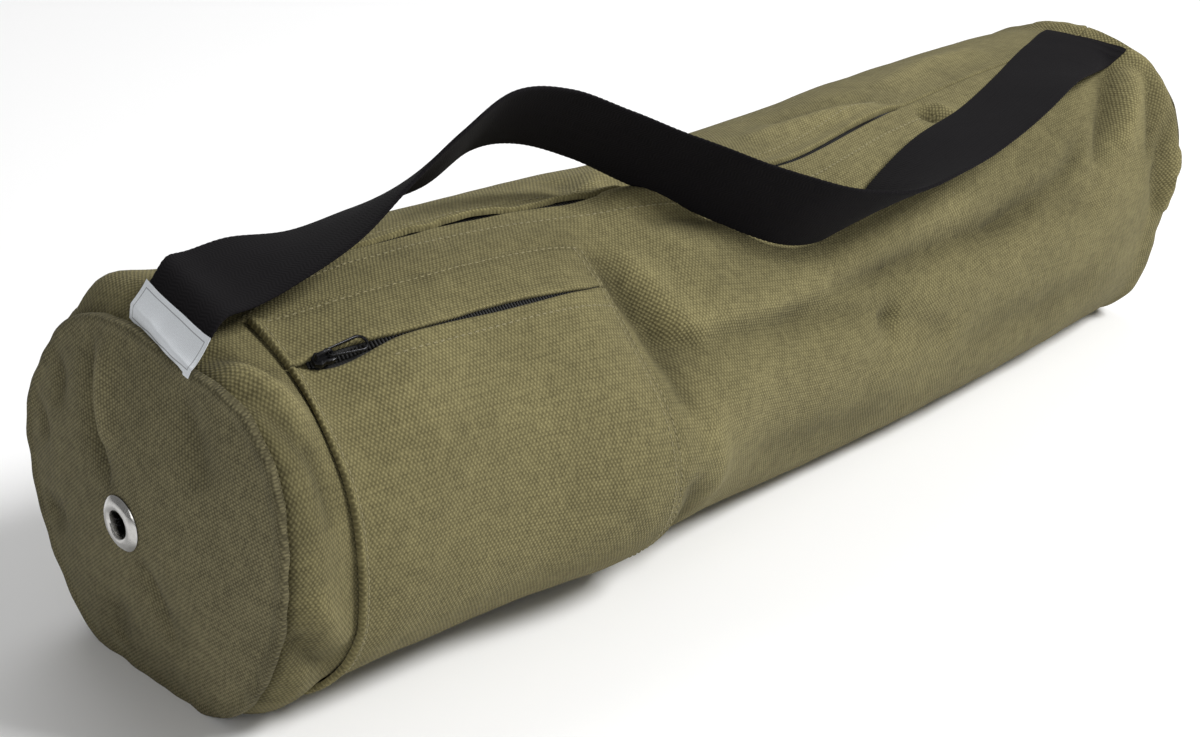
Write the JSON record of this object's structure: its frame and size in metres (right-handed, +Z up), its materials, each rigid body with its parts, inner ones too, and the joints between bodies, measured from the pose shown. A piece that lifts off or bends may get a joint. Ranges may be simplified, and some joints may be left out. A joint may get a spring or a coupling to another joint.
{
  "type": "yoga mat bag",
  "caption": "Long soft canvas tube for a rolled yoga mat, with a top zip, a zipped front pocket, a webbing shoulder strap and an eyelet in one end panel.",
  "frame": {"origin": "on the floor under the middle of the bag's length and of its near end", "axes": "+X along the bag from the eyelet end to the far end, -Y to the pocket side, +Z up"},
  "size_m": [0.7115, 0.2143, 0.245],
  "materials": {
    "canvas": "matt woven canvas",
    "webbing": "matt ribbed webbing",
    "zip_tape": "matt woven tape",
    "black_metal": "semi-gloss black",
    "nickel": "satin nickel plate",
    "label_cloth": "smooth woven satin"
  },
  "bodies": {
    "bag": {"body_shell": "canvas", "near_end_panel": "canvas", "far_end_panel": "canvas", "eyelet_flange": "nickel", "eyelet_washer": "nickel", "main_zip_tape": "zip_tape", "main_zip_coil": "zip_tape", "main_zip_slider": "black_metal", "pocket_top_strip": "canvas", "pocket_front": "canvas", "pocket_zip_tape": "zip_tape", "pocket_zip_coil": "zip_tape", "pocket_zip_slider": "black_metal", "carry_strap": "webbing", "strap_label": "label_cloth"},
    "pocket_pull": {"pocket_zip_pull": "black_metal"},
    "main_pull": {"main_zip_pull": "black_metal"}
  },
  "joints": [
    {"name": "pocket_pull_hinge", "type": "hinge", "parent": "bag", "child": "pocket_pull", "pos_m": [-0.28679, -0.06028, 0.16322], "axis": [-0.0764, -0.849, -0.5229], "range_deg": [0, 170]},
    {"name": "main_pull_swivel", "type": "hinge", "parent": "bag", "child": "main_pull", "pos_m": [-0.29401, -0.00123, 0.1819], "axis": [-0.0474, -0.1713, 0.9841], "range_deg": [0, 170]}
  ]
}
